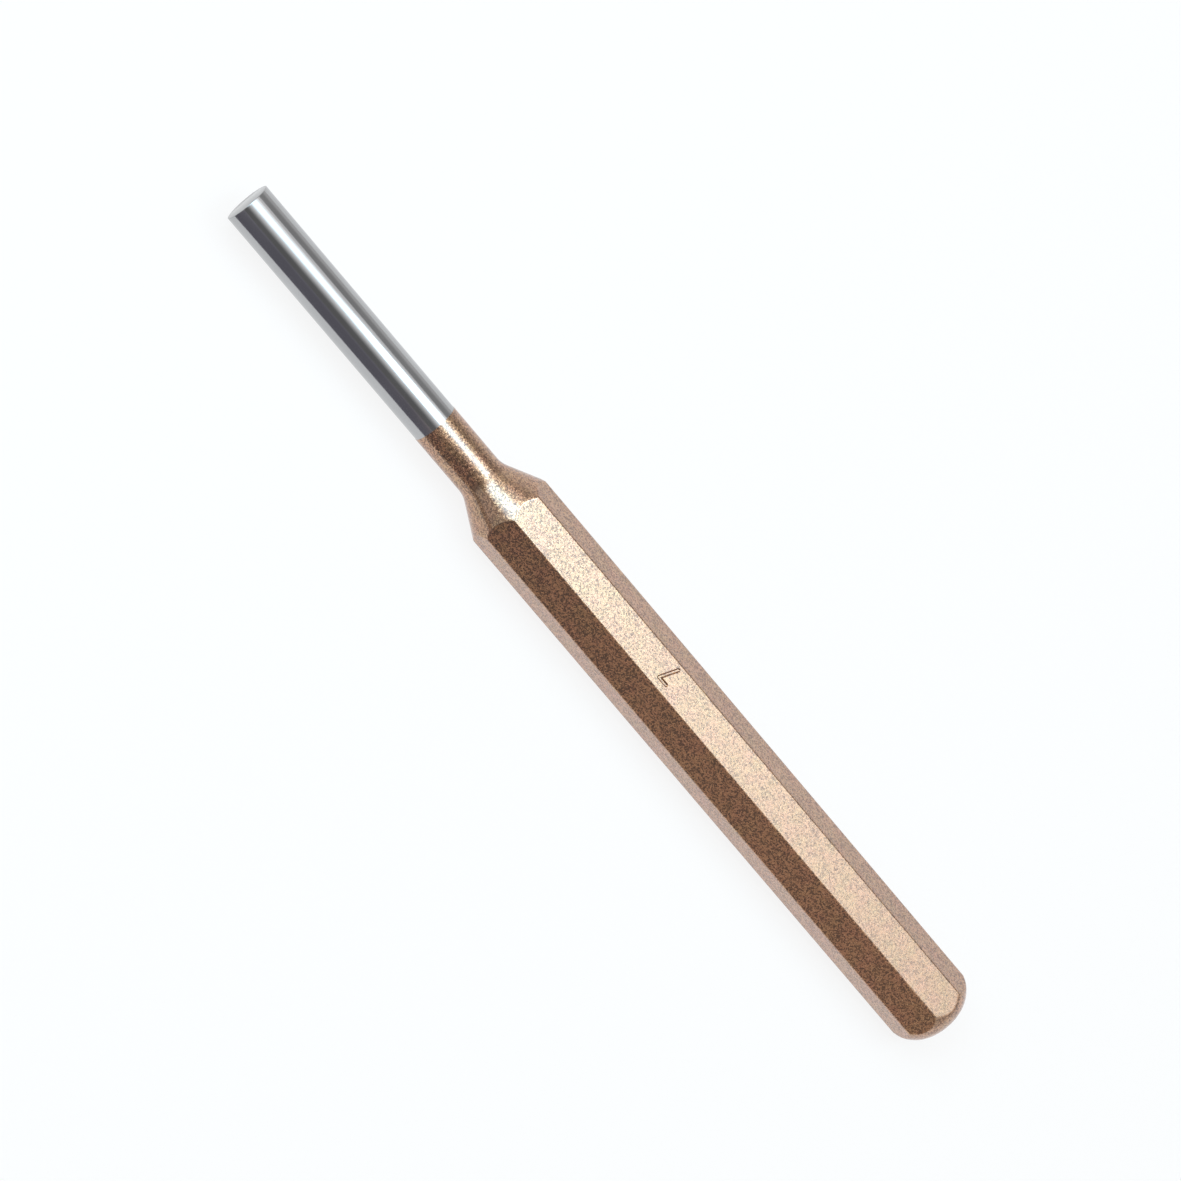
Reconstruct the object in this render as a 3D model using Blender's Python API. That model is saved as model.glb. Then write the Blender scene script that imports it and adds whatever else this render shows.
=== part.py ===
"""Pin punch: a round parallel pin turned on the end of an octagonal steel bar.

The tool lies along X on one flat of its octagon, with the pin's tip at -X and the striking end at +X.
Metres, +Z up. The origin is on the surface under the middle of the tool's length.
"""

import math

import bmesh
import bpy
from mathutils import Matrix, Vector

MM = 0.001

# Driving sizes: the bar
OVERALL_LENGTH = 154.2 * MM
ACROSS_FLATS = 12.0 * MM
BAR_EDGE_RADIUS = 0.4 * MM
BAR_SIDES = 8

# Driving sizes: the pin and the neck that joins it to the bar
PIN_DIAMETER = 6.9 * MM
PIN_LENGTH = 50.3 * MM
NECK_HALF_ANGLE = math.radians(27.0)
NECK_ROOT_RADIUS = 4.0 * MM

# Driving sizes: the striking end
FACE_DIAMETER = 7.0 * MM
CROWN_LENGTH = 3.2 * MM
CROWN_RADIUS = 5.0 * MM

# How finely the round forms are cut
TURNING_STEPS = 96
ROOT_STEPS = 5
CROWN_STEPS = 9
EDGE_STEPS = 4
SHARP_ANGLE = math.radians(18)

# How far the bar stock and the turning tool run past the finished form
STOCK_OVERRUN = 2.0 * MM
TOOL_OVERRUN = 0.4 * MM

# Finish of the painted steel
BRONZE_PAINT = (0.47, 0.31, 0.20, 1.0)
PAINT_ROUGHNESS = 0.32
PAINT_METALLIC = 0.85


def edge_centre_radius():
    """Distance from the bar's axis to the centres of its rounded edges."""
    return (ACROSS_FLATS / 2 - BAR_EDGE_RADIUS) / math.cos(math.pi / BAR_SIDES)


def corner_radius():
    """Distance from the bar's axis to the crests of its rounded edges."""
    return edge_centre_radius() + BAR_EDGE_RADIUS


def arc(centre, radius, start, end, steps):
    """Points on a circular arc, from one angle to another about a centre."""
    angles = [start + (end - start) * i / steps for i in range(steps + 1)]
    return [(centre[0] + radius * math.cos(a), centre[1] + radius * math.sin(a)) for a in angles]


def neck_root():
    """The hollow fillet between the parallel pin and the neck's cone, as points (x, r) with x from the tip."""
    pin_radius = PIN_DIAMETER / 2
    tangent_length = NECK_ROOT_RADIUS * math.tan(NECK_HALF_ANGLE / 2)
    centre = (PIN_LENGTH - tangent_length, pin_radius + NECK_ROOT_RADIUS)
    bottom = -math.pi / 2
    return arc(centre, NECK_ROOT_RADIUS, bottom, bottom + NECK_HALF_ANGLE, ROOT_STEPS)


def crown():
    """The striking end's rounded shoulder, from the octagon's corner circle to the edge of the flat face."""
    start = Vector((OVERALL_LENGTH - CROWN_LENGTH, corner_radius()))
    end = Vector((OVERALL_LENGTH, FACE_DIAMETER / 2))
    chord = end - start
    inward = Vector((chord.y, -chord.x)).normalized()
    rise = math.sqrt(CROWN_RADIUS**2 - (chord.length / 2) ** 2)
    centre = (start + end) / 2 + inward * rise
    first = math.atan2(start.y - centre.y, start.x - centre.x)
    last = math.atan2(end.y - centre.y, end.x - centre.x)
    return arc(centre, CROWN_RADIUS, first, last, CROWN_STEPS)


def run_out(point, direction, outer):
    """Where a cut that leaves point in a direction reaches the radius outer, clear of the bar's corners."""
    return (point[0] + direction[0] / direction[1] * (outer - point[1]), outer)


def turned_profile():
    """The half outline that the lathe cuts, from the centre of the tip to the centre of the striking face."""
    outer = corner_radius() + TOOL_OVERRUN
    root = neck_root()
    shoulder = crown()
    up_the_cone = (math.cos(NECK_HALF_ANGLE), math.sin(NECK_HALF_ANGLE))
    out_of_the_crown = (shoulder[0][0] - shoulder[1][0], shoulder[0][1] - shoulder[1][1])
    return [
        (0.0, 0.0),
        (0.0, PIN_DIAMETER / 2),
        *root,
        run_out(root[-1], up_the_cone, outer),
        run_out(shoulder[0], out_of_the_crown, outer),
        *shoulder,
        (OVERALL_LENGTH, 0.0),
    ]


def turned_envelope():
    """The space inside the lathe's cuts, revolved about the tool's axis. It trims the bar and isn't a part itself."""
    shape = bmesh.new()
    line = [shape.verts.new((x - OVERALL_LENGTH / 2, 0.0, r)) for x, r in turned_profile()]
    edges = [shape.edges.new(pair) for pair in zip(line, line[1:])]
    bmesh.ops.spin(
        shape,
        geom=line + edges,
        cent=(0, 0, 0),
        axis=(1, 0, 0),
        angle=math.tau,
        steps=TURNING_STEPS,
        use_merge=True,
    )
    bmesh.ops.remove_doubles(shape, verts=shape.verts, dist=0.000001)
    bmesh.ops.recalc_face_normals(shape, faces=shape.faces)
    half_step = Matrix.Rotation(math.pi / TURNING_STEPS, 4, "X")
    bmesh.ops.transform(shape, matrix=half_step, verts=shape.verts)
    envelope = new_object("turned_envelope", shape)
    envelope.hide_render = True
    envelope.display_type = "WIRE"
    return envelope


def bar_outline():
    """The drawn bar's section: an octagon with flats below and above and rounded edges, as points (y, z)."""
    half_side = math.pi / BAR_SIDES
    outline = []
    for corner in range(BAR_SIDES):
        towards = (2 * corner + 1) * half_side
        centre = (edge_centre_radius() * math.cos(towards), edge_centre_radius() * math.sin(towards))
        outline += arc(centre, BAR_EDGE_RADIUS, towards - half_side, towards + half_side, EDGE_STEPS)
    return outline


def octagonal_bar():
    """The bar stock, a little longer than the tool."""
    start = -OVERALL_LENGTH / 2 - STOCK_OVERRUN
    length = OVERALL_LENGTH + 2 * STOCK_OVERRUN
    shape = bmesh.new()
    end_face = shape.faces.new([shape.verts.new((start, y, z)) for y, z in bar_outline()])
    drawn = bmesh.ops.extrude_face_region(shape, geom=[end_face], use_keep_orig=True)
    moved = [item for item in drawn["geom"] if isinstance(item, bmesh.types.BMVert)]
    bmesh.ops.translate(shape, vec=(length, 0, 0), verts=moved)
    bmesh.ops.recalc_face_normals(shape, faces=shape.faces)
    return new_object("pin_punch", shape)


def new_object(name, shape):
    """An object made from a bmesh and set at the height of the tool's axis above the surface."""
    mesh = bpy.data.meshes.new(name)
    shape.to_mesh(mesh)
    shape.free()
    made = bpy.data.objects.new(name, mesh)
    made.location.z = ACROSS_FLATS / 2
    bpy.context.scene.collection.objects.link(made)
    return made


def bronze_paint():
    """Metallic bronze paint over steel."""
    material = bpy.data.materials.new("bronze_paint")
    material.use_nodes = True
    surface = material.node_tree.nodes["Principled BSDF"]
    surface.inputs["Base Color"].default_value = BRONZE_PAINT
    surface.inputs["Roughness"].default_value = PAINT_ROUGHNESS
    surface.inputs["Metallic"].default_value = PAINT_METALLIC
    return material


def pin_punch():
    """The bar turned down to its pin and crowned at its head: the lathe's cuts scallop the ends of its flats."""
    punch = octagonal_bar()
    turning = punch.modifiers.new("turning", "BOOLEAN")
    turning.operation = "INTERSECT"
    turning.solver = "EXACT"
    turning.object = turned_envelope()
    evaluated = punch.evaluated_get(bpy.context.evaluated_depsgraph_get())
    turned = bpy.data.meshes.new_from_object(evaluated)
    punch.modifiers.remove(turning)
    punch.data = turned
    punch.data.shade_smooth()
    punch.data.set_sharp_from_angle(angle=SHARP_ANGLE)
    punch.data.materials.append(bronze_paint())
    return punch


def main():
    for thing in list(bpy.data.objects):
        bpy.data.objects.remove(thing)
    pin_punch()


main()
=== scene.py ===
"""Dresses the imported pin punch.

It has the painted octagonal bar with its turned neck and crown, the ground pin, and a studio to see them in.
The tool lies along X on one flat of its octagon, with the pin's tip at -X and the striking end at +X.
Everything is in metres, with +Z up.
"""

import math

import bmesh
import bpy
from bpy.props import FloatProperty, FloatVectorProperty, PointerProperty
from mathutils import Matrix, Vector


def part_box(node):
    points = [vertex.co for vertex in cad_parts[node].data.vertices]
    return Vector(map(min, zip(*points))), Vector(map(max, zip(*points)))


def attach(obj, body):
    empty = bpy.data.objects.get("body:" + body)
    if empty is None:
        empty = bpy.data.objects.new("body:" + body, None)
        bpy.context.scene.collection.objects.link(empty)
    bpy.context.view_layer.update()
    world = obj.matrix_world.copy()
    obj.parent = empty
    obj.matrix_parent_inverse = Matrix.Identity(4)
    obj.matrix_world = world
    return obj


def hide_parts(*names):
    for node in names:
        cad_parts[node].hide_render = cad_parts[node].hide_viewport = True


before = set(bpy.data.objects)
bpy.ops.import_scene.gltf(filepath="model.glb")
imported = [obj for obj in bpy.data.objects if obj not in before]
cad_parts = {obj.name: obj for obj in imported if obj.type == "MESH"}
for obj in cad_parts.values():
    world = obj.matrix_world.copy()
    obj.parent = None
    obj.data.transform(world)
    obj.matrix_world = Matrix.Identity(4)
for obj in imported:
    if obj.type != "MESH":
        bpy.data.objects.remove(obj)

bl_info = {
    "name": "Pin punch",
    "version": (1, 0, 0),
    "blender": (4, 5, 0),
    "location": "3D View > Sidebar > Pin punch",
    "description": "Makes a bronze painted pin punch with a ground steel pin, and a studio to look at it in",
    "category": "Object",
}

MM = 0.001
CAD_NODE = "pin_punch"
CAD_LOW, CAD_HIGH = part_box(CAD_NODE)
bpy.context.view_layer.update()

# The bar is an octagon
SIDES = 8

# How finely the forms are cut
FLAT_POINTS = 15
EDGE_POINTS = 8
ROOT_STEPS = 14
CONE_STEPS = 5
SCALLOP_STEP = 0.06 * MM
SHANK_STEPS = 12
CROWN_STEPS = 40
LEAD_STEPS = 4
TURNING_STEPS = 160
RIM_STEPS = 4
CAP_STEPS = 6
SHARP_ANGLE = math.radians(28)

# How near two points are when they count as one
WELD = 0.001 * MM

# How far the lathe's line runs out past the bar's edges, and the ground pin in under the paint
TOOL_OVERRUN = 0.4 * MM
PAINT_OVERLAP = 0.6 * MM

# How many times the paint's softening the cone's close stations start below the flats
SOFTENING_REACH = 3

# The groove's section from above the flat to its floor, as shares of the stroke's width and of the depth
GROOVE_LEVELS = ((1.12, 0.4), (1.0, 0.0), (0.90, -0.20), (0.44, -0.85), (0.30, -1.0))

# Where the foot of the figure's stem stands, as a share of half the width
STEM_FOOT = 0.75

# Painted shade on the groove's walls: how far past the figure it may reach, and the depths where it sets in
# and ends
STAMP_MARGIN = 0.05 * MM
WALL_TOP = (0.05, 0.25)
WALL_FOOT = (0.80, 0.98)

# The paint: how softly a flake passes into the ground, and its clear coat
FLAKE_FADE = 0.12
COAT_ROUGHNESS = 0.12
COAT_IOR = 2.0

# The steel: how little its marks change round the pin, its film of oil, and the depths where the painted
# shade on its cut end stops
MARK_RUN = 0.06
FILM_SCALE = 160.0
FILM_STOPS = (0.3, 0.7)
FILM_DULLING = 0.93
FILM_ROUGHNESS = 0.03
CUT_END = (0.01 * MM, 0.05 * MM)

# The floor
FLOOR_HALF_SIZE = 3.0
FLOOR_DROP = 0.00001

# The softbox: its height, the brightness of its faded side, and its outline from above
SOFTBOX_HEIGHT = 0.90
SOFTBOX_EDGE = 0.18
SOFTBOX_OUTLINE = (
    (-1.08, -1.15),
    (-1.08, 0.72),
    (-0.30, 0.60),
    (0.0, 0.48),
    (0.08, 0.48),
    (0.15, 0.57),
    (0.19, 0.68),
    (0.52, 0.72),
    (0.52, -1.15),
)

# The studio's walls: half its length, its near and far sides, and their height
WALL_SIDE, WALL_NEAR, WALL_FAR, WALL_HEIGHT = 1.05, -1.12, 0.80, 0.89

# The low card along the near side of the tool: its line on the floor in millimetres, and its height
LOW_CARD_LINE = ((-500, -260), (-92, -14), (-30, -48), (150, -156), (600, -430))
LOW_CARD_HEIGHT = 0.010

# The camera
SENSOR_WIDTH = 36.0
CLIP_START, CLIP_END = 0.05, 20.0


def length(name, description, default):
    """A size in the sidebar."""
    return FloatProperty(name=name, description=description, default=default, unit="LENGTH", precision=5)


def colour(name, description, default):
    """A colour in the sidebar."""
    return FloatVectorProperty(
        name=name, description=description, default=default, size=3, min=0, max=1, subtype="COLOR"
    )


def share(name, description, default):
    """A number between nothing and all in the sidebar."""
    return FloatProperty(name=name, description=description, default=default, min=0, max=1, subtype="FACTOR")


def angle(name, description, degrees):
    """An angle in the sidebar."""
    return FloatProperty(name=name, description=description, default=math.radians(degrees), subtype="ANGLE")


def brightness(name, description, default):
    """The strength of a lamp in the sidebar."""
    return FloatProperty(name=name, description=description, default=default, min=0)


class PunchSizes(bpy.types.PropertyGroup):
    """Sizes of the punch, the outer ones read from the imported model."""

    overall: length("Overall length", "From the pin's tip to the striking face", CAD_HIGH.x - CAD_LOW.x)
    across_flats: length("Across flats", "Size of the octagonal bar", CAD_HIGH.z - CAD_LOW.z)
    edge_radius: length("Edge radius", "Rounding of the bar's long edges", 0.4 * MM)
    pin_diameter: length("Painted pin diameter", "Diameter of the pin over its paint", 6.9 * MM)
    ground_diameter: length("Ground pin diameter", "Diameter of the bare steel", 6.83 * MM)
    pin_length: length("Pin length", "From the tip to where the neck's cone starts", 50.3 * MM)
    bare_length: length("Bare length", "From the tip to the edge of the paint", 40.0 * MM)
    tip_break: length("Tip edge break", "Rounding of the pin's sharp rim", 0.08 * MM)
    neck_angle: angle("Neck half angle", "Slope of the neck's cone", 27)
    root_radius: length("Neck root radius", "Hollow between the pin and the cone", 4.0 * MM)
    face_diameter: length("Striking face", "Diameter of the flat on the head", 7.0 * MM)
    crown_length: length("Crown length", "How far the rounded shoulder runs along the head", 3.2 * MM)
    crown_radius: length("Crown radius", "Rounding of the head's shoulder", 5.0 * MM)
    rim_break: length("Rim break", "Softening of the striking face's rim", 0.25 * MM)
    paint_softening: length("Paint softening", "How far the paint rounds what the lathe cut", 0.07 * MM)


class SizeMark(bpy.types.PropertyGroup):
    """The size figure stamped into the top flat."""

    along: length("Place along the bar", "Middle of the figure from the middle of the tool", 10.2 * MM)
    aside: length("Place across the flat", "Middle of the figure from the flat's middle", 0.30 * MM)
    height: length("Height", "Height of the figure", 2.8 * MM)
    width: length("Width", "Length of the figure's bar", 1.5 * MM)
    stroke: length("Stroke", "Width of a groove at the surface", 0.64 * MM)
    depth: length("Depth", "Depth of a groove", 0.16 * MM)


class PaintFinish(bpy.types.PropertyGroup):
    """The metallic bronze paint: flakes of several tones in a red-brown ground, under a clear coat."""

    pale_flake: colour("Pale flake", "The palest flakes", (0.57, 0.335, 0.19))
    gold_flake: colour("Gold flake", "The darker flakes", (0.46, 0.255, 0.14))
    copper: colour("Copper", "Flakes sunk in the ground", (0.30, 0.16, 0.085))
    ground: colour("Ground", "The red-brown binder between the flakes", (0.20, 0.098, 0.052))
    flake_share: share("Flake share", "How much of the surface the flakes cover", 0.60)
    flake_size: length("Flake size", "Width of a flake", 0.18 * MM)
    flake_tilt: share("Flake tilt", "How far the flakes lean out of the surface", 0.22)
    ground_tilt: share("Ground tilt", "How far the ground's grains lean out of the surface", 0.30)
    flake_roughness: share("Flake roughness", "Roughness of a flake", 0.27)
    ground_roughness: share("Ground roughness", "Roughness of the ground", 0.32)
    # Painted shade: how much of each colour the stamped figure's groove walls keep
    stamp_shade_brown: colour("Stamp brown", "How much of each colour the groove's walls keep", (0.62, 0.43, 0.22))
    mottle_size: length("Mottle size", "Width of the faint rosy and olive patches", 2.4 * MM)
    mottle: share("Mottle", "Strength of the rosy and olive patches", 0.07)
    edge_tint: colour("Edge tint", "How much of each colour a grazing view keeps", (0.88, 0.78, 0.78))
    coat: share("Gloss", "Strength of the clear coat", 0.75)


class SteelFinish(bpy.types.PropertyGroup):
    """The ground pin's bare steel."""

    steel: colour("Steel", "Colour of the ground steel", (0.47, 0.47, 0.478))
    roughness: share("Roughness", "Roughness of the ground steel", 0.13)
    # Painted shade: the pin's flat cut end is made darker than its sides
    end_shade_level: share("End dulling", "How bright the pin's cut end is beside its sides", 0.72)
    mark_pitch: length("Grinding marks", "Distance between the fine marks round the pin", 0.09 * MM)
    mark_depth: length("Mark depth", "Depth of the fine marks", 0.0006 * MM)


class StudioSettings(bpy.types.PropertyGroup):
    """The floor, lamps, cards and camera."""

    floor: colour("Floor", "Colour of the floor", (0.90, 0.86, 0.83))
    floor_glow: share("Floor glow", "How much of the floor's look is plain white, without its shadow", 0.86)
    softbox: brightness("Softbox", "Brightness of the softbox's cloth", 1.6)
    hot_core: brightness("Hot core", "Brightness that the tube behind the cloth adds", 1.65)
    core_tint: FloatVectorProperty(
        name="Core tint",
        description="Tone of the tube's light",
        default=(0.56, 0.98, 1.22),
        size=3,
        min=0,
        subtype="COLOR",
    )
    fill: brightness("Fill", "Brightness of the room's fill light", 0.20)
    dark_card: colour(
        "Dark card", "Tone of the near wall along the tool, and of the low card", (0.172, 0.167, 0.197)
    )
    warm_card: colour("Warm card", "Tone of the near wall beyond the head", (0.44, 0.34, 0.29))
    grey_card: colour(
        "Grey card", "Tone of the far wall along the tool and beyond its head", (0.37, 0.37, 0.37)
    )
    pale_card: colour(
        "Pale card", "Tone of the end walls and the side walls far past the pin's tip", (0.62, 0.62, 0.62)
    )
    lens: FloatProperty(
        name="Lens", description="Focal length in millimetres on a 36 mm sensor", default=150.0, min=1
    )
    azimuth: angle("Azimuth", "Camera's turn round the tool", -37.804)
    elevation: angle("Elevation", "Camera's height above the horizon", 66.067)
    roll: angle("Roll", "Turn of the camera about its own line of sight", -85.022)
    distance: length("Distance", "From the camera to the point it looks at", 683.363 * MM)
    aim: FloatVectorProperty(
        name="Aim",
        description="The point that the camera looks at",
        default=(-4.646 * MM, 1.527 * MM, 6.0 * MM),
        size=3,
        subtype="TRANSLATION",
    )


class PunchSettings(bpy.types.PropertyGroup):
    """Everything a user may change."""

    sizes: PointerProperty(type=PunchSizes, name="Sizes", description="Sizes of the punch")
    mark: PointerProperty(type=SizeMark, name="Size mark", description="The stamped figure")
    paint: PointerProperty(type=PaintFinish, name="Paint", description="The bronze paint")
    steel: PointerProperty(type=SteelFinish, name="Steel", description="The ground steel")
    studio: PointerProperty(type=StudioSettings, name="Studio", description="Floor, lamps and camera")


# The turned outline


def arc(centre, radius, start, end, steps):
    """Points on a circular arc, from one angle to another about a centre."""
    angles = [start + (end - start) * i / steps for i in range(steps + 1)]
    return [(centre[0] + radius * math.cos(a), centre[1] + radius * math.sin(a)) for a in angles]


def between(start, end, steps):
    """Points that divide a straight stretch evenly, without its two ends."""
    return [
        (start[0] + (end[0] - start[0]) * i / steps, start[1] + (end[1] - start[1]) * i / steps)
        for i in range(1, steps)
    ]


def corner_radius(sizes):
    """Distance from the bar's axis to the crests of its rounded edges."""
    return (sizes.across_flats / 2 - sizes.edge_radius) / math.cos(math.pi / SIDES) + sizes.edge_radius


def neck_root(sizes):
    """The hollow fillet between the parallel pin and the neck's cone."""
    tangent_length = sizes.root_radius * math.tan(sizes.neck_angle / 2)
    centre = (sizes.pin_length - tangent_length, sizes.pin_diameter / 2 + sizes.root_radius)
    bottom = -math.pi / 2
    return arc(centre, sizes.root_radius, bottom, bottom + sizes.neck_angle, ROOT_STEPS)


def neck_cone(sizes, start, outer):
    """The cone above the hollow, with close stations where it cuts the bar's flats and edges."""
    slope = math.tan(sizes.neck_angle)
    flats = sizes.across_flats / 2 - SOFTENING_REACH * sizes.paint_softening
    first_cut = (start[0] + (flats - start[1]) / slope, flats)
    end = (start[0] + (outer - start[1]) / slope, outer)
    steps = round((end[0] - first_cut[0]) / SCALLOP_STEP)
    return [*between(start, first_cut, CONE_STEPS), first_cut, *between(first_cut, end, steps), end]


def crown(sizes, outer):
    """The head's rounded shoulder, led in by its own tangent from outside the bar's edges."""
    start = Vector((sizes.overall - sizes.crown_length, corner_radius(sizes)))
    end = Vector((sizes.overall, sizes.face_diameter / 2))
    chord = end - start
    inward = Vector((chord.y, -chord.x)).normalized()
    rise = math.sqrt(sizes.crown_radius**2 - (chord.length / 2) ** 2)
    centre = (start + end) / 2 + inward * rise
    first = math.atan2(start.y - centre.y, start.x - centre.x)
    last = math.atan2(end.y - centre.y, end.x - centre.x)
    shoulder = arc(centre, sizes.crown_radius, first, last, CROWN_STEPS)
    slope = math.tan(math.pi / 2 - first)
    lead_in = (start.x - (outer - start.y) / slope, outer)
    return [lead_in, *between(lead_in, shoulder[0], LEAD_STEPS), *shoulder]


def turned_outline(sizes):
    """What the lathe cuts, from the paint's edge to the striking face, as points (x from the tip, radius)."""
    outer = corner_radius(sizes) + TOOL_OVERRUN
    root = neck_root(sizes)
    cone = neck_cone(sizes, root[-1], outer)
    shoulder = crown(sizes, outer)
    paint_edge = (sizes.bare_length, sizes.pin_diameter / 2)
    return [
        paint_edge,
        *between(paint_edge, root[0], LEAD_STEPS),
        *root,
        *cone,
        *between(cone[-1], shoulder[0], SHANK_STEPS),
        *shoulder,
    ]


# Geometry Nodes


def add(tree, kind, **settings):
    """A node with its settings, such as its operation or mode."""
    node = tree.nodes.new(kind)
    for name, value in settings.items():
        setattr(node, name, value)
    return node


def feed(tree, node, **inputs):
    """Gives a node's inputs, by their names with underscores for spaces, a link or a plain value."""
    for name, value in inputs.items():
        socket = node.inputs[name.replace("_", " ")]
        if isinstance(value, bpy.types.NodeSocket):
            tree.links.new(value, socket)
        else:
            socket.default_value = value
    return node


def reckon(tree, operation, *values):
    """The result of one Math node on links and numbers."""
    node = add(tree, "ShaderNodeMath", operation=operation)
    for socket, value in zip(node.inputs, values):
        if isinstance(value, bpy.types.NodeSocket):
            tree.links.new(value, socket)
        else:
            socket.default_value = value
    return node.outputs[0]


def point(tree, x=0.0, y=0.0, z=0.0):
    """A vector made of links and numbers."""
    return feed(tree, add(tree, "ShaderNodeCombineXYZ"), X=x, Y=y, Z=z).outputs[0]


def parts_of(tree, vector):
    """The X, Y and Z of a vector."""
    node = add(tree, "ShaderNodeSeparateXYZ")
    tree.links.new(vector, node.inputs[0])
    return node.outputs


def octagon_section(tree, across_flats, edge_radius):
    """The bar's section: one flat and one rounded edge, repeated round the middle and joined up."""
    half_angle = math.pi / SIDES
    half_size = reckon(tree, "MULTIPLY", across_flats, 0.5)
    edge_height = reckon(tree, "SUBTRACT", half_size, edge_radius)
    half_flat = reckon(tree, "MULTIPLY", edge_height, math.tan(half_angle))
    flat = add(tree, "GeometryNodeCurvePrimitiveLine")
    feed(
        tree,
        flat,
        Start=point(tree, reckon(tree, "MULTIPLY", half_flat, -1.0), half_size),
        End=point(tree, half_flat, half_size),
    )
    flat_points = feed(tree, add(tree, "GeometryNodeResampleCurve"), Curve=flat.outputs[0], Count=FLAT_POINTS)
    edge = feed(
        tree,
        add(tree, "GeometryNodeCurveArc", mode="RADIUS"),
        Resolution=EDGE_POINTS,
        Radius=edge_radius,
        Start_Angle=math.pi / 2 - 2 * half_angle,
        Sweep_Angle=2 * half_angle,
    )
    edge_place = feed(
        tree,
        add(tree, "GeometryNodeTransform"),
        Geometry=edge.outputs[0],
        Translation=point(tree, half_flat, edge_height),
    )
    side = add(tree, "GeometryNodeJoinGeometry")
    tree.links.new(flat_points.outputs[0], side.inputs[0])
    tree.links.new(edge_place.outputs[0], side.inputs[0])
    side_line = feed(tree, add(tree, "GeometryNodeCurveToMesh"), Curve=side.outputs[0])
    spots = feed(tree, add(tree, "GeometryNodePoints"), Count=SIDES)
    turn = reckon(tree, "MULTIPLY", add(tree, "GeometryNodeInputIndex").outputs[0], 2 * half_angle)
    sides = feed(
        tree,
        add(tree, "GeometryNodeInstanceOnPoints"),
        Points=spots.outputs[0],
        Instance=side_line.outputs[0],
        Rotation=point(tree, z=turn),
    )
    real = feed(tree, add(tree, "GeometryNodeRealizeInstances"), Geometry=sides.outputs[0])
    ring = feed(tree, add(tree, "GeometryNodeMergeByDistance"), Geometry=real.outputs[0], Distance=WELD)
    return feed(tree, add(tree, "GeometryNodeMeshToCurve"), Mesh=ring.outputs[0]).outputs[0]


def turned_bar_tree():
    """Geometry Nodes that draw the octagonal bar along a turned line and cut it down to that line's radius.

    The line's points stand at their distance along X, with the radius to be cut as their height Z.
    """
    tree = bpy.data.node_groups.new("octagonal bar turned down", "GeometryNodeTree")
    sockets = tree.interface
    sockets.new_socket("Turned Line", in_out="INPUT", socket_type="NodeSocketGeometry")
    for name in ("Across Flats", "Edge Radius", "Paint Softening"):
        sockets.new_socket(name, in_out="INPUT", socket_type="NodeSocketFloat")
    sockets.new_socket("Paint", in_out="INPUT", socket_type="NodeSocketMaterial")
    sockets.new_socket("Bar", in_out="OUTPUT", socket_type="NodeSocketGeometry")
    given = add(tree, "NodeGroupInput").outputs

    radius_of_line = add(tree, "GeometryNodeCaptureAttribute", domain="POINT")
    radius_of_line.capture_items.new("FLOAT", "Turned Radius")
    on_line = parts_of(tree, add(tree, "GeometryNodeInputPosition").outputs[0])
    feed(tree, radius_of_line, Geometry=given["Turned Line"], Turned_Radius=on_line["Z"])
    axis_line = feed(
        tree,
        add(tree, "GeometryNodeSetPosition"),
        Geometry=radius_of_line.outputs["Geometry"],
        Position=point(tree, x=on_line["X"]),
    )
    path = feed(tree, add(tree, "GeometryNodeMeshToCurve"), Mesh=axis_line.outputs[0])
    bar = feed(
        tree,
        add(tree, "GeometryNodeCurveToMesh"),
        Curve=path.outputs[0],
        Profile_Curve=octagon_section(tree, given["Across Flats"], given["Edge Radius"]),
        Fill_Caps=True,
    )

    on_bar = parts_of(tree, add(tree, "GeometryNodeInputPosition").outputs[0])
    y_squared, z_squared = (reckon(tree, "MULTIPLY", on_bar[axis], on_bar[axis]) for axis in "YZ")
    bar_radius = reckon(tree, "SQRT", reckon(tree, "ADD", y_squared, z_squared))
    cut_radius = reckon(
        tree, "SMOOTH_MIN", bar_radius, radius_of_line.outputs["Turned Radius"], given["Paint Softening"]
    )
    cut = reckon(tree, "DIVIDE", cut_radius, bar_radius)
    half_size = reckon(tree, "MULTIPLY", given["Across Flats"], 0.5)
    turned = feed(
        tree,
        add(tree, "GeometryNodeSetPosition"),
        Geometry=bar.outputs[0],
        Position=point(
            tree,
            on_bar["X"],
            reckon(tree, "MULTIPLY", on_bar["Y"], cut),
            reckon(tree, "ADD", reckon(tree, "MULTIPLY", on_bar["Z"], cut), half_size),
        ),
    )
    real = feed(tree, add(tree, "GeometryNodeRealizeInstances"), Geometry=turned.outputs[0])
    painted = add(tree, "GeometryNodeSetMaterial")
    feed(tree, painted, Geometry=real.outputs[0], Material=given["Paint"])
    tree.links.new(painted.outputs[0], add(tree, "NodeGroupOutput").inputs[0])
    return tree


def run_nodes(thing, tree, **inputs):
    """Runs a node tree on an object and keeps the result as its plain mesh."""
    modifier = thing.modifiers.new(tree.name, "NODES")
    modifier.node_group = tree
    wanted = {name.replace("_", " "): value for name, value in inputs.items()}
    for socket in tree.interface.items_tree:
        if socket.in_out == "INPUT" and socket.name in wanted:
            modifier[socket.identifier] = wanted[socket.name]
    keep_result(thing, modifier)


def keep_result(thing, modifier):
    """Replaces an object's mesh by what its modifier makes of it, and removes the modifier."""
    evaluated = thing.evaluated_get(bpy.context.evaluated_depsgraph_get())
    made = bpy.data.meshes.new_from_object(evaluated)
    thing.modifiers.remove(modifier)
    thing.data = made


# Mesh work


def new_object(name, shape):
    """An object at the origin made from a bmesh."""
    mesh = bpy.data.meshes.new(name)
    shape.to_mesh(mesh)
    shape.free()
    made = bpy.data.objects.new(name, mesh)
    bpy.context.scene.collection.objects.link(made)
    return made


def shade(thing):
    """Smooth shading that stops at real edges."""
    thing.data.shade_smooth()
    thing.data.set_sharp_from_angle(angle=SHARP_ANGLE)


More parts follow.
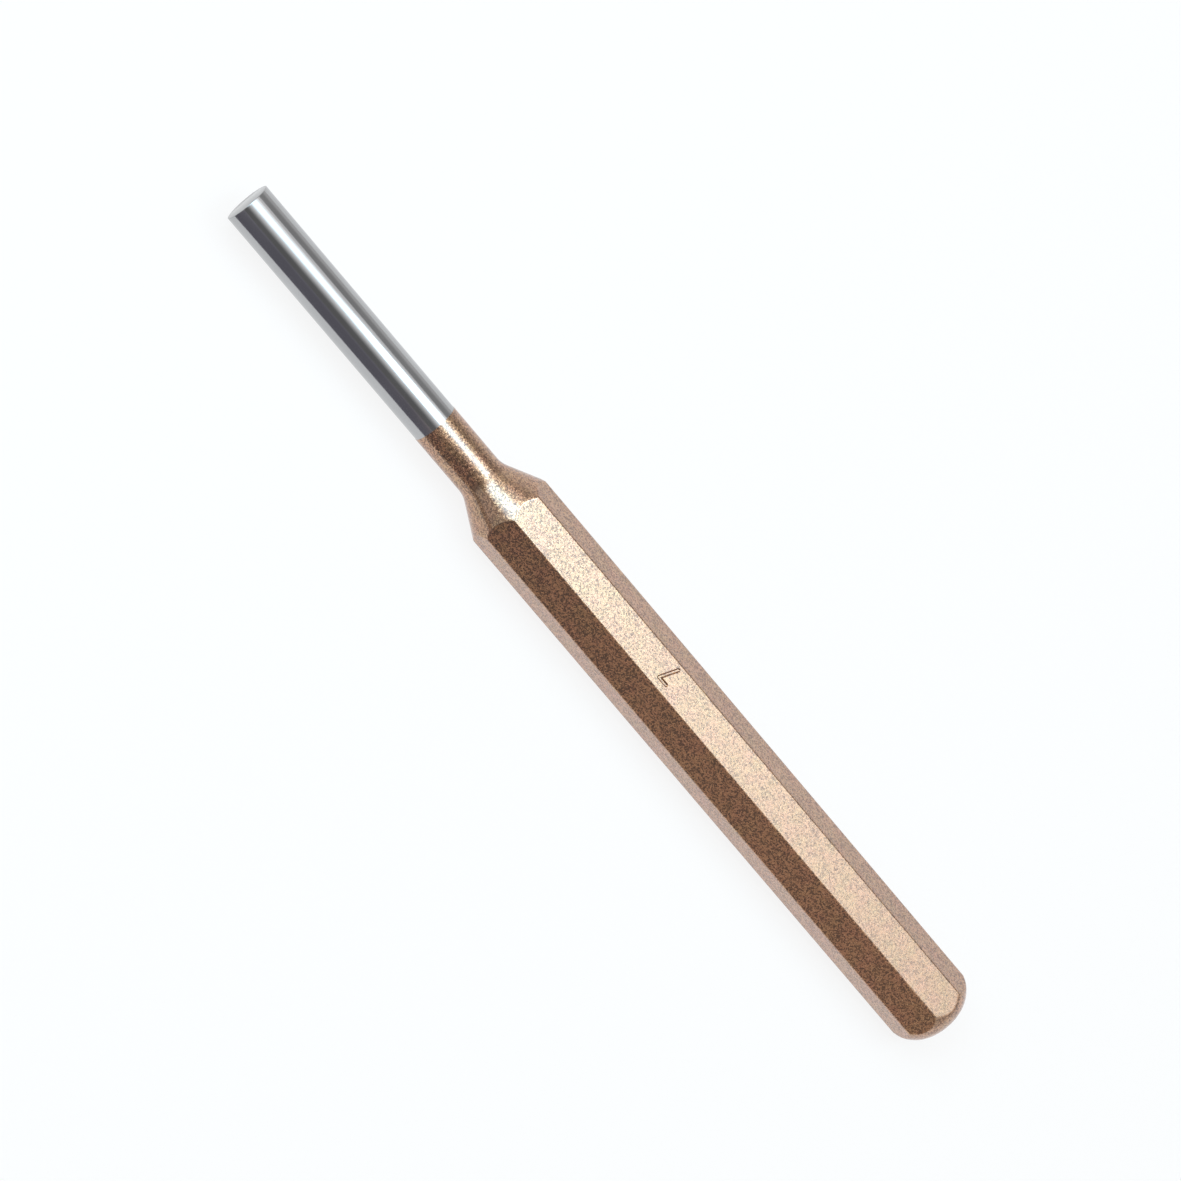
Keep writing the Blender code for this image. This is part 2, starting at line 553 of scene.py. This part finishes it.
def revolved(outline, axis_height):
    """A form turned about the tool's axis from points (x, radius), with its two ends closed by flat discs."""
    shape = bmesh.new()
    turns = [math.tau * i / TURNING_STEPS for i in range(TURNING_STEPS)]
    rings = [
        [shape.verts.new((x, radius * math.sin(a), axis_height + radius * math.cos(a))) for a in turns]
        for x, radius in outline
    ]
    for lower, upper in zip(rings, rings[1:]):
        for i in range(TURNING_STEPS):
            j = (i + 1) % TURNING_STEPS
            shape.faces.new((lower[i], lower[j], upper[j], upper[i]))
    shape.faces.new(rings[0])
    shape.faces.new(rings[-1])
    bmesh.ops.recalc_face_normals(shape, faces=shape.faces)
    return shape


def ease_rim(thing, x, amount):
    """Rounds the rim of a flat end that stands at x."""
    shape = bmesh.new()
    shape.from_mesh(thing.data)
    rim = [edge for edge in shape.edges if all(abs(vert.co.x - x) < WELD for vert in edge.verts)]
    bmesh.ops.bevel(
        shape, geom=rim, offset=amount, offset_type="OFFSET", segments=RIM_STEPS, profile=0.5, affect="EDGES"
    )
    shape.to_mesh(thing.data)
    shape.free()


def figure_seven(mark, top):
    """The cutter of a plain figure 7, for a flat bottomed groove with sloping walls and round ends.

    It reads towards the pin, so its height runs across the flat and its bar along it.
    """
    half_height, half_width = mark.height / 2, mark.width / 2
    line = [
        Vector((mark.along + half_width, mark.aside - half_height)),
        Vector((mark.along - half_width, mark.aside - half_height)),
        Vector((mark.along + STEM_FOOT * half_width, mark.aside + half_height)),
    ]
    half_stroke = mark.stroke / 2
    shape = bmesh.new()
    rings = []
    for share_of_stroke, share_of_depth in GROOVE_LEVELS:
        height = top + share_of_depth * mark.depth
        outline = stroke_outline(line, half_stroke * share_of_stroke)
        rings.append([shape.verts.new((*place, height)) for place in outline])
    for upper, lower in zip(rings, rings[1:]):
        for i, vert in enumerate(upper):
            j = (i + 1) % len(upper)
            shape.faces.new((vert, upper[j], lower[j], lower[i]))
    shape.faces.new(rings[0])
    shape.faces.new(rings[-1])
    bmesh.ops.recalc_face_normals(shape, faces=shape.faces)
    return new_object("stamp_seven", shape)


def stroke_outline(line, half_width):
    """The outline of a stroke bent at one corner: round ends, a round outer corner and a sharp inner one."""
    start, corner, end = line
    first, last = (corner - start).normalized(), (end - corner).normalized()
    first_left, last_left = Vector((-first.y, first.x)), Vector((-last.y, last.x))
    bend = first.angle_signed(last)
    side = 1 if bend > 0 else -1
    inner = corner - (first_left + last_left).normalized() * side * half_width / math.cos(bend / 2)
    first_cap, last_cap = (
        [
            centre + Matrix.Rotation(-side * math.pi * (i / CAP_STEPS - 0.5), 2) @ run * half_width
            for i in range(CAP_STEPS + 1)
        ]
        for centre, run in ((start, -first), (end, last))
    )
    outer = [
        corner + Matrix.Rotation(-bend * i / CAP_STEPS, 2) @ (first_left * side * half_width)
        for i in range(CAP_STEPS + 1)
    ]
    return first_cap + outer + last_cap + [inner]


def cut_away(thing, cutter):
    """Cuts one closed form out of another and removes the cutter."""
    cut = thing.modifiers.new("cut", "BOOLEAN")
    cut.operation = "DIFFERENCE"
    cut.solver = "EXACT"
    cut.object = cutter
    keep_result(thing, cut)
    bpy.data.objects.remove(cutter)


# Materials


def new_material(name):
    """An empty material with its surface shader, as (material, node tree, shader)."""
    material = bpy.data.materials.new(name)
    material.use_nodes = True
    return material, material.node_tree, material.node_tree.nodes["Principled BSDF"]


def object_place(tree):
    """The point on the surface, in the object's own metres."""
    return add(tree, "ShaderNodeTexCoord").outputs["Object"]


def ramp(tree, value, stops):
    """Colours spread along a value, from its stops (place, colour)."""
    stops = list(stops)
    node = add(tree, "ShaderNodeValToRGB")
    tree.links.new(value, node.inputs[0])
    band = node.color_ramp
    while len(band.elements) < len(stops):
        band.elements.new(1.0)
    for element, (place, tone) in zip(band.elements, stops):
        element.position = place
        element.color = (*tone, 1.0)
    return node.outputs[0]


def stretch(tree, value, low, high, to_low=0.0, to_high=1.0):
    """A number that eases from one level to another while a value goes from low to high."""
    node = add(tree, "ShaderNodeMapRange", interpolation_type="SMOOTHSTEP")
    for socket, given in zip(node.inputs, (value, low, high, to_low, to_high)):
        if isinstance(given, bpy.types.NodeSocket):
            tree.links.new(given, socket)
        else:
            socket.default_value = given
    return node.outputs[0]


def tipped_normal(tree, cells, tilt):
    """The surface normal, tipped a different way in every flake."""
    centred = add(tree, "ShaderNodeVectorMath", operation="SUBTRACT")
    tree.links.new(cells.outputs["Color"], centred.inputs[0])
    centred.inputs[1].default_value = (0.5, 0.5, 0.5)
    scaled = feed(tree, add(tree, "ShaderNodeVectorMath", operation="SCALE"), Scale=tilt)
    tree.links.new(centred.outputs[0], scaled.inputs[0])
    tipped = add(tree, "ShaderNodeVectorMath", operation="ADD")
    tree.links.new(add(tree, "ShaderNodeNewGeometry").outputs["Normal"], tipped.inputs[0])
    tree.links.new(scaled.outputs[0], tipped.inputs[1])
    even = add(tree, "ShaderNodeVectorMath", operation="NORMALIZE")
    tree.links.new(tipped.outputs[0], even.inputs[0])
    return even.outputs[0]


def from_to(tree, value, low, high):
    """A number that goes from low to high as a value goes from 0 to 1."""
    return reckon(tree, "MULTIPLY_ADD", value, high - low, low)


def times(tree, first, second):
    """The product of two colours."""
    product = add(tree, "ShaderNodeVectorMath", operation="MULTIPLY")
    tree.links.new(first, product.inputs[0])
    tree.links.new(second, product.inputs[1])
    return product.outputs[0]


def shade_painted_in_the_stamp(tree, place, mark, brown):
    """A tone that is brown on the walls of the stamped figure, as painted shade in its groove, and white
    elsewhere.
    """
    top = CAD_HIGH.z
    middle = (mark.along, mark.aside, top)
    reach = math.hypot(mark.height + mark.stroke, mark.width + mark.stroke) / 2
    apart = add(tree, "ShaderNodeVectorMath", operation="DISTANCE")
    tree.links.new(place, apart.inputs[0])
    apart.inputs[1].default_value = middle
    nearby = stretch(tree, apart.outputs["Value"], reach, reach + STAMP_MARGIN, 1.0, 0.0)
    height = parts_of(tree, place)["Z"]
    wall_high, wall_set_in = (top - part * mark.depth for part in WALL_TOP)
    wall_low, wall_end = (top - part * mark.depth for part in WALL_FOOT)
    below_the_flat = stretch(tree, height, wall_set_in, wall_high, 1.0, 0.0)
    above_the_floor = stretch(tree, height, wall_end, wall_low)
    wall = reckon(tree, "MULTIPLY", nearby, reckon(tree, "MULTIPLY", below_the_flat, above_the_floor))
    tone = add(tree, "ShaderNodeCombineColor")
    for socket, part in zip(tone.inputs, brown):
        tree.links.new(from_to(tree, wall, 1.0, part), socket)
    return tone.outputs[0]


def bronze_flake_paint(finish, mark):
    """Metallic bronze paint: flakes of several tones, each tipped its own way, in a darker ground.

    Faint patches of it are rosier or more olive, and a clear coat lies over it.
    """
    material, tree, surface = new_material("bronze_flake_paint")
    place = object_place(tree)
    cells = feed(tree, add(tree, "ShaderNodeTexVoronoi"), Vector=place, Scale=1 / finish.flake_size)
    tones = add(tree, "ShaderNodeSeparateColor")
    tree.links.new(cells.outputs["Color"], tones.inputs[0])
    ground_share = 1 - finish.flake_share
    ground_ends, flakes_start = ground_share - FLAKE_FADE, ground_share + FLAKE_FADE
    sunk = stretch(tree, tones.outputs[0], ground_ends, flakes_start, 1.0, 0.0)
    shades = ramp(
        tree,
        tones.outputs[0],
        (
            (0.0, tuple(finish.ground)),
            (ground_ends, tuple(finish.ground)),
            (ground_share, tuple(finish.copper)),
            (flakes_start, tuple(finish.gold_flake)),
            (1.0, tuple(finish.pale_flake)),
        ),
    )
    patches = add(tree, "ShaderNodeTexNoise")
    feed(tree, patches, Vector=place, Scale=1 / finish.mottle_size, Detail=1.0)
    rosy = reckon(tree, "MULTIPLY", reckon(tree, "SUBTRACT", patches.outputs[0], 0.5), 2 * finish.mottle)
    tint = feed(
        tree,
        add(tree, "ShaderNodeCombineColor"),
        Red=reckon(tree, "ADD", rosy, 1.0),
        Green=reckon(tree, "SUBTRACT", 1.0, rosy),
        Blue=reckon(tree, "ADD", rosy, 1.0),
    )
    mottled = times(tree, shades, tint.outputs[0])
    # Painted shade darkens the walls of the stamped figure's groove
    stamped = times(tree, mottled, shade_painted_in_the_stamp(tree, place, mark, finish.stamp_shade_brown))
    feed(
        tree,
        surface,
        Base_Color=stamped,
        Metallic=1.0,
        Specular_Tint=(*finish.edge_tint, 1.0),
        Roughness=from_to(tree, sunk, finish.flake_roughness, finish.ground_roughness),
        Coat_Weight=finish.coat,
        Coat_Roughness=COAT_ROUGHNESS,
        Coat_IOR=COAT_IOR,
        Normal=tipped_normal(tree, cells, from_to(tree, sunk, finish.flake_tilt, finish.ground_tilt)),
    )
    return material


def ground_pin_steel(finish):
    """Bare ground steel: fine marks round the pin, a cut end darkened as painted shade, and a faint film of
    oil.
    """
    material, tree, surface = new_material("ground_pin_steel")
    place = object_place(tree)
    stretched = feed(tree, add(tree, "ShaderNodeMapping"), Vector=place)
    stretched.inputs["Scale"].default_value = (1.0, MARK_RUN, MARK_RUN)
    marks = add(tree, "ShaderNodeTexNoise")
    feed(tree, marks, Vector=stretched.outputs[0], Scale=1 / finish.mark_pitch, Detail=2.0)
    relief = add(tree, "ShaderNodeBump")
    feed(tree, relief, Height=marks.outputs[0], Distance=finish.mark_depth, Strength=1.0)
    film = feed(tree, add(tree, "ShaderNodeTexNoise"), Vector=place, Scale=FILM_SCALE, Detail=3.0)
    tone = tuple(finish.steel)
    dull = tuple(FILM_DULLING * part for part in tone)
    filmed = ramp(tree, film.outputs[0], zip(FILM_STOPS, (dull, tone)))
    # Painted shade on the pin's flat cut end, fading out just behind it
    end_stops = (CAD_LOW.x + inwards for inwards in CUT_END)
    level = stretch(tree, parts_of(tree, place)["X"], *end_stops, finish.end_shade_level, 1.0)
    end_shade_tone = feed(tree, add(tree, "ShaderNodeCombineColor"), Red=level, Green=level, Blue=level)
    feed(
        tree,
        surface,
        Base_Color=times(tree, filmed, end_shade_tone.outputs[0]),
        Metallic=1.0,
        Roughness=from_to(
            tree, film.outputs[0], finish.roughness - FILM_ROUGHNESS, finish.roughness + FILM_ROUGHNESS
        ),
        Normal=relief.outputs[0],
    )
    return material


# The studio


def glowing(name, tone):
    """A plain card or lamp of an even brightness, as (material, tree, emitter)."""
    material = bpy.data.materials.new(name)
    material.use_nodes = True
    tree = material.node_tree
    tree.nodes.clear()
    emitter = add(tree, "ShaderNodeEmission")
    feed(tree, emitter, Color=(*tone, 1.0), Strength=1.0)
    tree.links.new(emitter.outputs[0], add(tree, "ShaderNodeOutputMaterial").inputs[0])
    return material, tree, emitter


def panel(name, corners, material):
    """A flat sheet of the studio through its corners."""
    shape = bmesh.new()
    shape.faces.new([shape.verts.new(corner) for corner in corners])
    made = new_object(name, shape)
    made.data.materials.append(material)
    made.visible_camera = False
    return made


def only_in_reflections(card):
    """A card that shows in glossy surfaces and neither lights nor shades anything."""
    card.visible_diffuse = False
    card.visible_shadow = False
    card.visible_transmission = False
    card.visible_volume_scatter = False


def backdrop_rays(tree):
    """1 for what is seen straight, in a mirror or through glass, and 0 for the light that falls on things."""
    path = add(tree, "ShaderNodeLightPath").outputs
    seen = reckon(tree, "MAXIMUM", path["Is Camera Ray"], path["Is Glossy Ray"])
    return reckon(tree, "MAXIMUM", seen, path["Is Transmission Ray"])


def room_light(studio):
    """A white room to look at, which lights the scene only softly."""
    world = bpy.data.worlds.new("room")
    bpy.context.scene.world = world
    world.use_nodes = True
    tree = world.node_tree
    background = tree.nodes["Background"]
    background.inputs["Color"].default_value = (1, 1, 1, 1)
    seen = backdrop_rays(tree)
    strength = reckon(tree, "MULTIPLY_ADD", seen, 1.0 - studio.fill, studio.fill)
    tree.links.new(strength, background.inputs["Strength"])


def lay_floor(studio):
    """The plain pale floor: part of its look is plain white, and the rest takes the tool's soft shadow."""
    material, tree, surface = new_material("floor_white")
    material.cycles.emission_sampling = "NONE"
    feed(tree, surface, Base_Color=(*studio.floor, 1.0), Roughness=1.0, Specular_IOR_Level=0.0)
    white = feed(tree, add(tree, "ShaderNodeEmission"), Color=(1, 1, 1, 1), Strength=1.0)
    look = add(tree, "ShaderNodeMixShader")
    tree.links.new(reckon(tree, "MULTIPLY", backdrop_rays(tree), studio.floor_glow), look.inputs[0])
    tree.links.new(surface.outputs[0], look.inputs[1])
    tree.links.new(white.outputs[0], look.inputs[2])
    tree.links.new(look.outputs[0], tree.nodes["Material Output"].inputs[0])
    half = FLOOR_HALF_SIZE
    corners = ((-half, -half, 0), (half, -half, 0), (half, half, 0), (-half, half, 0))
    shape = bmesh.new()
    shape.faces.new([shape.verts.new(corner) for corner in corners])
    floor = new_object("floor", shape)
    floor.data.materials.append(material)
    floor.location.z = -FLOOR_DROP


def cloth_light(tree, along, across):
    """How bright the softbox's cloth is: 0 along its near side, rising to 1 across it.

    The near side's line is straight towards the head and slants away towards the pin.
    """
    near, slant, feather = -0.58, 0.50, 0.72
    towards_the_pin = reckon(tree, "MINIMUM", along, 0.0)
    near_line = reckon(tree, "MULTIPLY_ADD", towards_the_pin, slant, near)
    return stretch(tree, reckon(tree, "SUBTRACT", across, near_line), 0.0, feather)


def falling_off(tree, value):
    """A level that falls off smoothly from 1 as the square of a value grows."""
    return reckon(tree, "EXPONENT", reckon(tree, "MULTIPLY", reckon(tree, "MULTIPLY", value, value), -0.5))


def tube_light(tree, along, across):
    """How strongly the tube behind the cloth shows: a slanting band that widens both ways from the middle.

    It fades past its end towards the head. The pin mirrors the flare by that end, and the neck's cone mirrors
    the glow far out beyond the pin's tip.
    """
    end, end_spread = 0.10, 0.23
    line, slant = 0.14, 0.40
    spread, widening = 0.165, 0.22
    flare, flare_rise, flare_fall = 4.8, (0.03, 0.11), (0.14, 0.19)
    far_glow, far_fall = 1.4, (-0.55, -0.30)
    past_end = reckon(tree, "MAXIMUM", reckon(tree, "SUBTRACT", along, end), 0.0)
    fading = falling_off(tree, reckon(tree, "MULTIPLY", past_end, 1 / end_spread))
    rising, dropping = stretch(tree, along, *flare_rise), stretch(tree, along, *flare_fall, flare, 0.0)
    flaring = reckon(tree, "MULTIPLY", rising, dropping)
    far_end = stretch(tree, along, *far_fall, far_glow, 0.0)
    strength = reckon(tree, "ADD", reckon(tree, "ADD", fading, flaring), far_end)
    line_there = reckon(tree, "MULTIPLY_ADD", along, slant, line)
    spread_there = reckon(tree, "MULTIPLY_ADD", reckon(tree, "ABSOLUTE", along), widening, spread)
    off_line = reckon(tree, "DIVIDE", reckon(tree, "SUBTRACT", across, line_there), spread_there)
    across_tube = falling_off(tree, reckon(tree, "MULTIPLY", off_line, off_line))
    return reckon(tree, "MULTIPLY", strength, across_tube)


def hang_softbox(studio):
    """The lamp: a wide soft sheet overhead, dim along its near side, with a tube behind it as hot core."""
    material, tree, emitter = glowing("softbox_cloth", (1, 1, 1))
    place = parts_of(tree, object_place(tree))
    along, across = place["X"], place["Y"]
    lit = cloth_light(tree, along, across)
    glow = reckon(tree, "MULTIPLY", tube_light(tree, along, across), lit)
    cloth = reckon(tree, "MULTIPLY_ADD", lit, studio.softbox - SOFTBOX_EDGE, SOFTBOX_EDGE)
    parts = {
        name: reckon(tree, "MULTIPLY_ADD", glow, studio.hot_core * tint, cloth)
        for name, tint in zip(("Red", "Green", "Blue"), studio.core_tint)
    }
    tone = feed(tree, add(tree, "ShaderNodeCombineColor"), **parts)
    tree.links.new(tone.outputs[0], emitter.inputs["Color"])
    panel("softbox", [(x, y, SOFTBOX_HEIGHT) for x, y in SOFTBOX_OUTLINE], material)


def wall_paint(name, tones, low, high, levels):
    """A wall whose tone changes along X by its stops, and from one level to another between two heights."""
    material, tree, emitter = glowing(name, (1, 1, 1))
    place = parts_of(tree, object_place(tree))
    share_along = reckon(tree, "MULTIPLY_ADD", place["X"], 0.5 / WALL_SIDE, 0.5)
    stops = [((x / WALL_SIDE + 1) / 2, tone) for x, tone in tones]
    tree.links.new(ramp(tree, share_along, stops), emitter.inputs["Color"])
    tree.links.new(stretch(tree, place["Z"], low, high, *levels), emitter.inputs["Strength"])
    return material


def stand_cards(studio):
    """Cards and walls round the tool that give the bright metal its dark, grey and pale bands."""
    cards = (studio.dark_card, studio.grey_card, studio.pale_card, studio.warm_card)
    dark, grey, pale, warm = (tuple(tone) for tone in cards)
    low_card = glowing("card_dark", dark)[0]
    near_tones = ((-0.50, pale), (-0.10, dark), (0.22, dark), (0.34, warm))
    near_wall = wall_paint("wall_near", near_tones, low=0.60, high=0.89, levels=(1.0, 1.3))
    far_tones = ((-0.42, pale), (-0.10, grey))
    far_wall = wall_paint("wall_far", far_tones, low=0.14, high=0.42, levels=(1.75, 1.0))
    end_wall = glowing("wall_end", pale)[0]
    for i, (a, b) in enumerate(zip(LOW_CARD_LINE, LOW_CARD_LINE[1:])):
        feet = [Vector((x * MM, y * MM, 0)) for x, y in (a, b)]
        tops = [Vector((foot.x, foot.y, LOW_CARD_HEIGHT)) for foot in feet]
        only_in_reflections(panel(f"low_card_{i + 1}", (feet[0], feet[1], tops[1], tops[0]), low_card))
    walls = (
        ("near_wall", (-WALL_SIDE, WALL_NEAR), (WALL_SIDE, WALL_NEAR), near_wall),
        ("far_wall", (-WALL_SIDE, WALL_FAR), (WALL_SIDE, WALL_FAR), far_wall),
        ("end_wall_head", (WALL_SIDE, WALL_NEAR), (WALL_SIDE, WALL_FAR), end_wall),
        ("end_wall_pin", (-WALL_SIDE, WALL_NEAR), (-WALL_SIDE, WALL_FAR), end_wall),
    )
    for name, a, b, material in walls:
        only_in_reflections(panel(name, ((*a, 0), (*b, 0), (*b, WALL_HEIGHT), (*a, WALL_HEIGHT)), material))


def set_camera(studio):
    """The camera at the photograph's viewing angle."""
    azimuth, elevation = studio.azimuth, studio.elevation
    level = math.cos(elevation)
    back = Vector((math.sin(azimuth) * level, -math.cos(azimuth) * level, math.sin(elevation)))
    upright = (Vector((0, 0, 1)) - back * back.z).normalized()
    rightwards = upright.cross(back)
    up = upright * math.cos(studio.roll) + rightwards * math.sin(studio.roll)
    right = up.cross(back)
    camera = bpy.data.objects.new("camera", bpy.data.cameras.new("camera"))
    camera.data.lens = studio.lens
    camera.data.sensor_width = SENSOR_WIDTH
    camera.data.clip_start = CLIP_START
    camera.data.clip_end = CLIP_END
    turn = Matrix((right, up, back)).transposed().to_4x4()
    camera.matrix_world = Matrix.Translation(Vector(studio.aim) + back * studio.distance) @ turn
    bpy.context.scene.collection.objects.link(camera)
    bpy.context.scene.camera = camera


# Operators


class PUNCH_OT_body(bpy.types.Operator):
    """Draw the octagonal bar, turn its neck and crown, stamp its size and paint it."""

    bl_idname = "punch.body"
    bl_label = "Painted body"

    def execute(self, context):
        settings = context.scene.pin_punch
        sizes = settings.sizes
        tip = -sizes.overall / 2
        shape = bmesh.new()
        line = [shape.verts.new((tip + x, 0, radius)) for x, radius in turned_outline(sizes)]
        for pair in zip(line, line[1:]):
            shape.edges.new(pair)
        body = new_object("painted_body", shape)
        run_nodes(
            body,
            turned_bar_tree(),
            Across_Flats=sizes.across_flats,
            Edge_Radius=sizes.edge_radius,
            Paint_Softening=sizes.paint_softening,
            Paint=bronze_flake_paint(settings.paint, settings.mark),
        )
        if len(body.data.polygons) == 0:
            raise RuntimeError("the node tree made no bar")
        ease_rim(body, tip + sizes.overall, sizes.rim_break)
        cut_away(body, figure_seven(settings.mark, sizes.across_flats))
        shade(body)
        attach(body, "root")
        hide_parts(CAD_NODE)
        return {"FINISHED"}


class PUNCH_OT_pin(bpy.types.Operator):
    """Turn the bare end of the pin and grind it bright."""

    bl_idname = "punch.pin"
    bl_label = "Ground pin"

    def execute(self, context):
        settings = context.scene.pin_punch
        sizes = settings.sizes
        tip = -sizes.overall / 2
        radius = sizes.ground_diameter / 2
        rim_centre = (sizes.tip_break, radius - sizes.tip_break)
        rim = arc(rim_centre, sizes.tip_break, math.pi, math.pi / 2, RIM_STEPS)
        outline = [*rim, (sizes.bare_length + PAINT_OVERLAP, radius)]
        pin = new_object("ground_pin", revolved([(tip + x, r) for x, r in outline], sizes.across_flats / 2))
        pin.data.materials.append(ground_pin_steel(settings.steel))
        shade(pin)
        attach(pin, "root")
        return {"FINISHED"}


class PUNCH_OT_studio(bpy.types.Operator):
    """Light the room, lay the floor, hang the softbox, stand the cards and set the camera."""

    bl_idname = "punch.studio"
    bl_label = "Studio"

    def execute(self, context):
        studio = context.scene.pin_punch.studio
        context.scene.view_settings.view_transform = "Standard"
        room_light(studio)
        lay_floor(studio)
        hang_softbox(studio)
        stand_cards(studio)
        set_camera(studio)
        return {"FINISHED"}


class PUNCH_PT_maker(bpy.types.Panel):
    """Lists the pieces and their settings."""

    bl_idname = "PUNCH_PT_maker"
    bl_label = "Pin punch"
    bl_space_type = "VIEW_3D"
    bl_region_type = "UI"
    bl_category = "Pin punch"

    def draw(self, context):
        settings = context.scene.pin_punch
        for title, group, operator in (
            ("Body", settings.sizes, PUNCH_OT_body),
            ("Size mark", settings.mark, None),
            ("Paint", settings.paint, None),
            ("Steel", settings.steel, PUNCH_OT_pin),
            ("Studio", settings.studio, PUNCH_OT_studio),
        ):
            box = self.layout.box()
            box.label(text=title)
            for name in group.__annotations__:
                box.prop(group, name)
            if operator:
                box.operator(operator.bl_idname)


CLASSES = (
    PunchSizes,
    SizeMark,
    PaintFinish,
    SteelFinish,
    StudioSettings,
    PunchSettings,
    PUNCH_OT_body,
    PUNCH_OT_pin,
    PUNCH_OT_studio,
    PUNCH_PT_maker,
)


def register():
    for made in CLASSES:
        bpy.utils.register_class(made)
    bpy.types.Scene.pin_punch = PointerProperty(type=PunchSettings)


def unregister():
    del bpy.types.Scene.pin_punch
    for made in reversed(CLASSES):
        bpy.utils.unregister_class(made)


def main():
    register()
    bpy.ops.punch.studio()
    bpy.ops.punch.body()
    bpy.ops.punch.pin()


if __name__ == "__main__":
    main()
